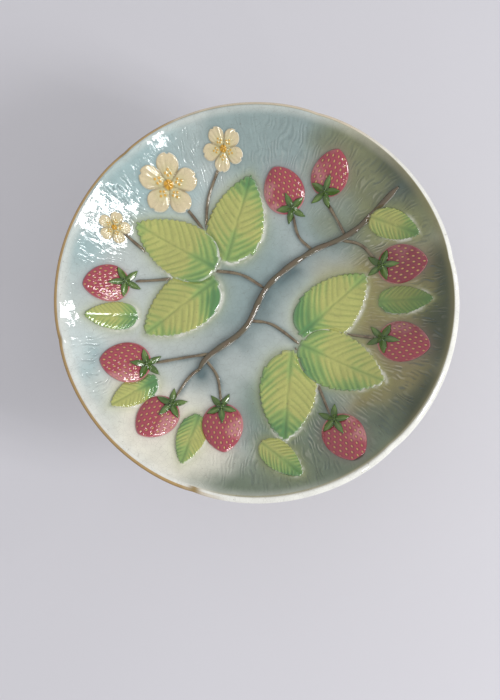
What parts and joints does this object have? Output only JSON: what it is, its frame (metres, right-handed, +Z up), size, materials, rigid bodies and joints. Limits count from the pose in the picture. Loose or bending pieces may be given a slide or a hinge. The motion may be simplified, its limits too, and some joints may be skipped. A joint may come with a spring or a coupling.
{
  "type": "compote dish",
  "caption": "Round lobed dish on a hollow trumpet foot, in glazed earthenware, with a relief of fruit, leaves and blossoms on its face; it serves fruit or sweets.",
  "frame": {"origin": "on the table, under the centre of the foot", "axes": "+Z up along the axis of the foot and dish, +X to the right and +Y away in the picture"},
  "size_m": [0.2258, 0.226, 0.098],
  "materials": {
    "dish_glaze": "gloss lead glaze in pale blue, blue-grey and cream over a white body, with an ochre line on the lip",
    "foot_glaze": "gloss cream glaze, shaded blue-grey",
    "slip": "fired slip under a thin wash of glaze",
    "leaf_glaze": "gloss glaze, yellow-green on the swells and deep green in the veins",
    "berry_glaze": "gloss crimson glaze, thinner and pink on the high spots",
    "calyx_glaze": "gloss deep green glaze",
    "petal_glaze": "gloss cream glaze with a yellow eye",
    "stem_glaze": "gloss grey-brown glaze"
  },
  "bodies": {
    "root": {"berry_1": "berry_glaze", "berry_2": "berry_glaze", "berry_3": "berry_glaze", "berry_4": "berry_glaze", "berry_5": "berry_glaze", "berry_6": "berry_glaze", "berry_7": "berry_glaze", "berry_8": "berry_glaze", "berry_9": "berry_glaze", "blossom_1": "petal_glaze", "blossom_2": "petal_glaze", "blossom_3": "petal_glaze", "calyx_1": "calyx_glaze", "calyx_2": "calyx_glaze", "calyx_3": "calyx_glaze", "calyx_4": "calyx_glaze", "calyx_5": "calyx_glaze", "calyx_6": "calyx_glaze", "calyx_7": "calyx_glaze", "calyx_8": "calyx_glaze", "calyx_9": "calyx_glaze", "dish": "dish_glaze", "leaf_1": "leaf_glaze", "leaf_2": "leaf_glaze", "leaf_3": "leaf_glaze", "leaf_4": "leaf_glaze", "leaf_5": "leaf_glaze", "leaf_6": "leaf_glaze", "leaf_7": "leaf_glaze", "leaf_8": "leaf_glaze", "leaf_9": "leaf_glaze", "leaf_10": "leaf_glaze", "leaf_11": "leaf_glaze", "leaf_12": "leaf_glaze", "pedestal": "foot_glaze", "slip_ring": "slip", "stem_1": "stem_glaze", "stem_2": "stem_glaze", "stem_3": "stem_glaze", "stem_4": "stem_glaze", "stem_5": "stem_glaze", "stem_6": "stem_glaze", "stem_7": "stem_glaze", "stem_8": "stem_glaze", "stem_9": "stem_glaze", "stem_10": "stem_glaze", "stem_11": "stem_glaze", "stem_12": "stem_glaze", "stem_13": "stem_glaze", "stem_14": "stem_glaze", "trunk": "stem_glaze"}
  },
  "joints": []
}
